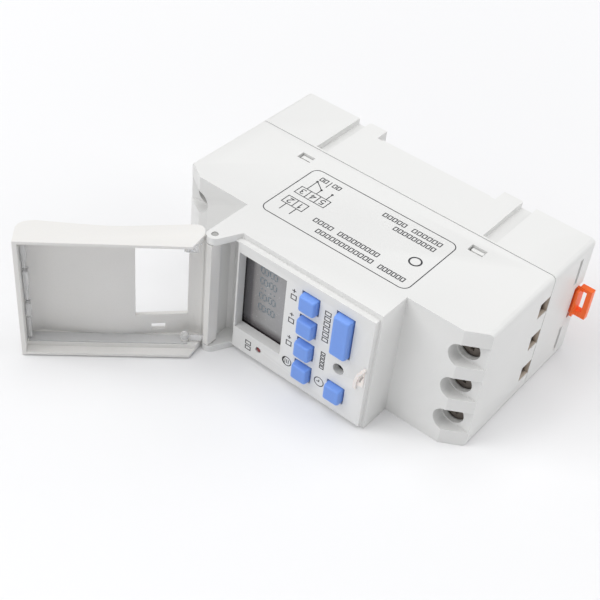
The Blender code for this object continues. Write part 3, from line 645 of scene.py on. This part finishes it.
def label_print():
    """Border, terminal diagram with numbered boxes, a plain ring, and blocks for the lines of words."""
    work = bmesh.new()
    ribbon(work, rounded_rectangle((-20.4, 21.4), (10.1, 31.5), 2.0), 0.25, closed=True)
    terminal_boxes(work, "21", (-18.35, -12.3), (15.5, 18.4))
    terminal_boxes(work, "345", (-18.35, -9.6), (20.3, 23.3))
    wires = [(-13.8, 12.8, 15.5), (-16.8, 12.8, 15.5), (-16.9, 23.3, 27.4), (-14.1, 23.3, 25.4),
             (-11.1, 23.3, 25.8), (-14.1, 27.0, 29.7)]
    for x, near, far in wires:
        ribbon(work, [(x, near), (x, far)], PRINT_LINE)
    pivot, closed, open_contact = (-16.9, 27.4), (-14.1, 25.4), (-11.1, 25.8)
    ribbon(work, [pivot, closed], PRINT_LINE)
    for contact in (pivot, closed, open_contact):
        disc(work, contact, 0.33, on_label)
    ribbon(work, circle((17.3, 19.8), 1.45), 0.42, closed=True)
    for depth, spans in WORD_LINES:
        for start, end in spans:
            word_blocks(work, (start, depth), (end, depth), LABEL_WORD_TALL)
    printed("label_print", work, PRINT)


# ---------------------------------------------------------------- display
def display_segments():
    """Two rows of unlit seven-bar figures with a colon between them, just visible on the display."""
    work = bmesh.new()
    tall, wide, slant, gap = 2.1, 1.8, 0.12, 0.2
    bars = [((0, 1), (1, 1)), ((0, 0), (1, 0)), ((0, -1), (1, -1)),
            ((0, 0), (0, 1)), ((0, -1), (0, 0)), ((1, 0), (1, 1)), ((1, -1), (1, 0))]
    for row_x in (-10.6, -7.9):
        for z in (-3.1, 0.4, 5.0, 8.2):
            for bar in bars:
                start, end = (Vector((row_x - v * tall / 2, z + u * wide + v * slant)) for u, v in bar)
                inset = (end - start).normalized() * gap
                ribbon(work, [tuple(start + inset), tuple(end - inset)], 0.30, on_display)
        for side in (-0.5, 0.6):
            disc(work, (row_x + side, 3.55), 0.22, on_display, 12)
    printed("display_segments", work, GHOST)


# ---------------------------------------------------------------- small pieces
def turned(name, profile, centre, look, body, axis="Z", steps=32):
    """A round piece from a (radius, along) profile, turned about a line along Z or Y."""
    rings = []
    for radius, along in profile:
        ring = []
        for i in range(steps):
            angle = math.tau * i / steps
            x = centre[0] + radius * math.cos(angle)
            across = centre[1] + radius * math.sin(angle)
            ring.append(spot(x, across, along) if axis == "Z" else spot(x, along, across))
        rings.append(ring)
    return keep(name, closed_skin(name, rings, 40), look, body)


def lamp():
    """The domed red lamp in its hole."""
    low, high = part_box("led_on")
    centre = ((low.x + high.x) / 2 / MM, (low.z + high.z) / 2 / MM)
    profile = [(0.66, 0.5), (0.66, -0.75), (0.63, -0.95), (0.54, -1.13), (0.38, -1.27), (0.16, -1.34)]
    turned("lamp_dome", profile, centre, LED_RED, "case", "Y")


def hinge_pins():
    """Grey pin ends that show in the two hinge ears."""
    for name, sign in (("hinge_pin_up", 1), ("hinge_pin_down", -1)):
        profile = [(0.76, sign * 16.2), (0.76, sign * 17.5), (0.70, sign * 17.62), (0.5, sign * 17.68),
                   (0.2, sign * 17.7)]
        turned(name, profile, (HINGE_X, HINGE_DEPTH), PIN, "lid")


def slab(name, outline, depths, look, body, edge):
    """A filled (x, z) outline between two depths, with rounded edges."""
    rings = [[spot(x, depth, z) for x, z in outline] for depth in depths]
    return bevel(keep(name, closed_skin(name, rings), look, body), edge, 3)


def latch():
    """Small pale catch for the lid: a bent wall, and behind it a step with a slot drawn as a flat ribbon of
    painted shade.
    """
    foot, step_top, wall_top = PANEL_DEPTH + 0.05, PANEL_DEPTH - 0.20, PANEL_DEPTH - 0.62
    line = [(19.75, -5.1), (19.7, -2.9), (20.2, -0.7), (21.7, 2.1)]
    sides = [side_of(a, b) * 0.42 for a, b in zip(line, line[1:])]
    sides = [sides[0]] + [(a + b) / 2 for a, b in zip(sides, sides[1:])] + [sides[-1]]
    left = [(x + side.x, z + side.y) for (x, z), side in zip(line, sides)]
    right = [(x - side.x, z - side.y) for (x, z), side in zip(line, sides)]
    slab("latch_wall", left + right[::-1], (foot, wall_top), PALE, "case", 0.16)
    step = [(20.1, -3.9), (20.1, -2.9), (20.55, -0.8), (21.6, 1.1), (21.75, 0.9), (21.75, -3.7)]
    slab("latch_step", step, (foot, step_top), PALE, "case", 0.06)
    # The slot is not cut: a flat ribbon of painted shade lies on the step in its place.
    slot = bmesh.new()
    ribbon(slot, [(20.75, -2.5), (21.0, -1.4), (21.5, -0.3)], 0.42,
           lambda x, z: spot(x, step_top - INK_PROUD, z))
    printed("latch_slot_painted_shade", slot, SLOT_SHADE)


def lid_spot(along, out):
    """(x, depth) of a place on the open lid: along it from the hinge, and out through its skin."""
    turn = math.radians(LID_OPEN_DEG)
    return (HINGE_X + along * math.cos(turn) - out * math.sin(turn),
            HINGE_DEPTH - along * math.sin(turn) - out * math.cos(turn))


def lid_block(name, alongs, outs, zs, edge):
    """A clear block that rides on the lid."""
    corners = [(alongs[0], outs[0]), (alongs[1], outs[0]), (alongs[1], outs[1]), (alongs[0], outs[1])]
    rings = [[spot(*lid_spot(*corner), z) for corner in corners] for z in zs]
    return bevel(keep(name, closed_skin(name, rings), CLEAR, "lid"), edge, 2)


def lid_peg(name, along, out, radius, tip, root):
    """A clear round peg with a domed tip; it stands along Z from root to tip."""
    step = 0.12 if root > tip else -0.12
    profile = [(radius, root), (radius, tip + 3 * step), (radius * 0.9, tip + step), (radius * 0.6, tip),
               (radius * 0.2, tip - step / 3)]
    turned(name, profile, lid_spot(along, out), CLEAR, "lid", steps=24)


# The clear strip's stretches: from z, to z, height up the end wall, and how far each stands in.
STRIP_STRETCHES = [
    (9.6, 15.0, 2.1, 1.2), (6.6, 9.2, 1.3, 0.9), (0.8, 6.0, 1.9, 1.3),
    (-3.4, 0.3, 1.2, 0.9), (-8.0, -4.0, 1.8, 1.2), (-15.0, -8.6, 1.4, 1.0),
]


def clear_bits():
    """The clear window insert's strip inside the lid's free end, and its tabs and pegs by the hinge."""
    for index, (low, high, wide, thick) in enumerate(STRIP_STRETCHES, 1):
        lid_block(f"clear_strip_{index}", (LID_END - thick, LID_END), (0.5 - wide, 0.5), (low, high), 0.12)
    lid_block("clear_rail", (LID_END - 0.6, LID_END), (0.05, 0.4), (-15.2, 15.2), 0.08)
    lid_block("clear_floor", (5.4, LID_END - 0.2), (-1.85, 1.3), (-15.48, -15.2), 0.06)
    lid_block("clear_tab_low", (2.1, 5.0), (-0.8, -0.5), (-15.3, -13.3), 0.1)
    lid_block("clear_tab_high", (3.6, 6.8), (-1.75, -1.45), (13.6, 15.3), 0.1)
    lid_peg("clear_peg_low", 6.1, -0.4, 1.0, tip=-13.05, root=-14.4)
    lid_peg("clear_peg_high", 5.9, -2.3, 0.8, tip=14.45, root=15.6)


# ---------------------------------------------------------------- stage
def floor():
    """Pale floor that turns into the world's own tone away from the part."""
    size = 12.0
    mesh = bpy.data.meshes.new("floor")
    z = FLOOR_Z * MM - 0.00002
    corners = [(-size, -size, z), (size, -size, z), (size, size, z), (-size, size, z)]
    mesh.from_pydata(corners, [], [(0, 1, 2, 3)])
    n = Nodes("floor_white")
    away = n.add("ShaderNodeVectorMath", operation="LENGTH")
    n.link(n.place, away.inputs[0])
    glow = n.span(away.outputs["Value"], 0.0, WORLD_STRENGTH * 0.15, 0.06, 0.22)
    n.set(Base_Color=n.mix(n.noise(3.0), (0.848, 0.848, 0.858), (0.862, 0.862, 0.868)), Roughness=0.75,
          Specular_IOR_Level=0.25, Emission_Color=WORLD_COLOR, Emission_Strength=glow)
    mesh.materials.append(n.material)
    plane = bpy.data.objects.new("floor", mesh)
    scene.collection.objects.link(plane)


def area_light(name, place, size, power):
    data = bpy.data.lights.new(name, "AREA")
    data.shape = "SQUARE"
    data.size = size
    data.energy = power
    source = bpy.data.objects.new(name, data)
    scene.collection.objects.link(source)
    source.location = place
    source.rotation_euler = (Vector(AIM) - Vector(place)).to_track_quat("-Z", "Y").to_euler()


def studio():
    """Soft grey world and four broad lights."""
    world = bpy.data.worlds.new("studio")
    world.use_nodes = True
    back = world.node_tree.nodes["Background"]
    back.inputs["Color"].default_value = WORLD_COLOR
    back.inputs["Strength"].default_value = WORLD_STRENGTH
    scene.world = world
    area_light("key", (-1.0, -1.1, 1.4), 1.2, 15.0)
    area_light("front", (0.0, -1.5, 1.3), 1.2, 2.5)
    area_light("top", (0.0, 0.0, 2.0), 1.6, 18.0)
    area_light("back", (1.3, 1.1, 0.9), 1.2, 9.0)
    scene.view_settings.view_transform = "Standard"


def camera():
    """Looks down on the label, the key panel and the near end, with the part lying on its side."""
    data = bpy.data.cameras.new("camera")
    data.lens = 71.06
    data.sensor_width = 36.0
    view = bpy.data.objects.new("camera", data)
    scene.collection.objects.link(view)
    right = Vector((0.77255, 0.62911, 0.08592))
    up = Vector((-0.47323, 0.48026, 0.73851))
    turn = Matrix((right, up, right.cross(up))).transposed().to_4x4()
    view.matrix_world = Matrix.Translation((0.11379, -0.21621, 0.18682)) @ turn
    scene.camera = view


camera()
moulded_parts()
button_caps()
panel_print()
label_print()
display_segments()
lamp()
hinge_pins()
latch()
clear_bits()
floor()
studio()
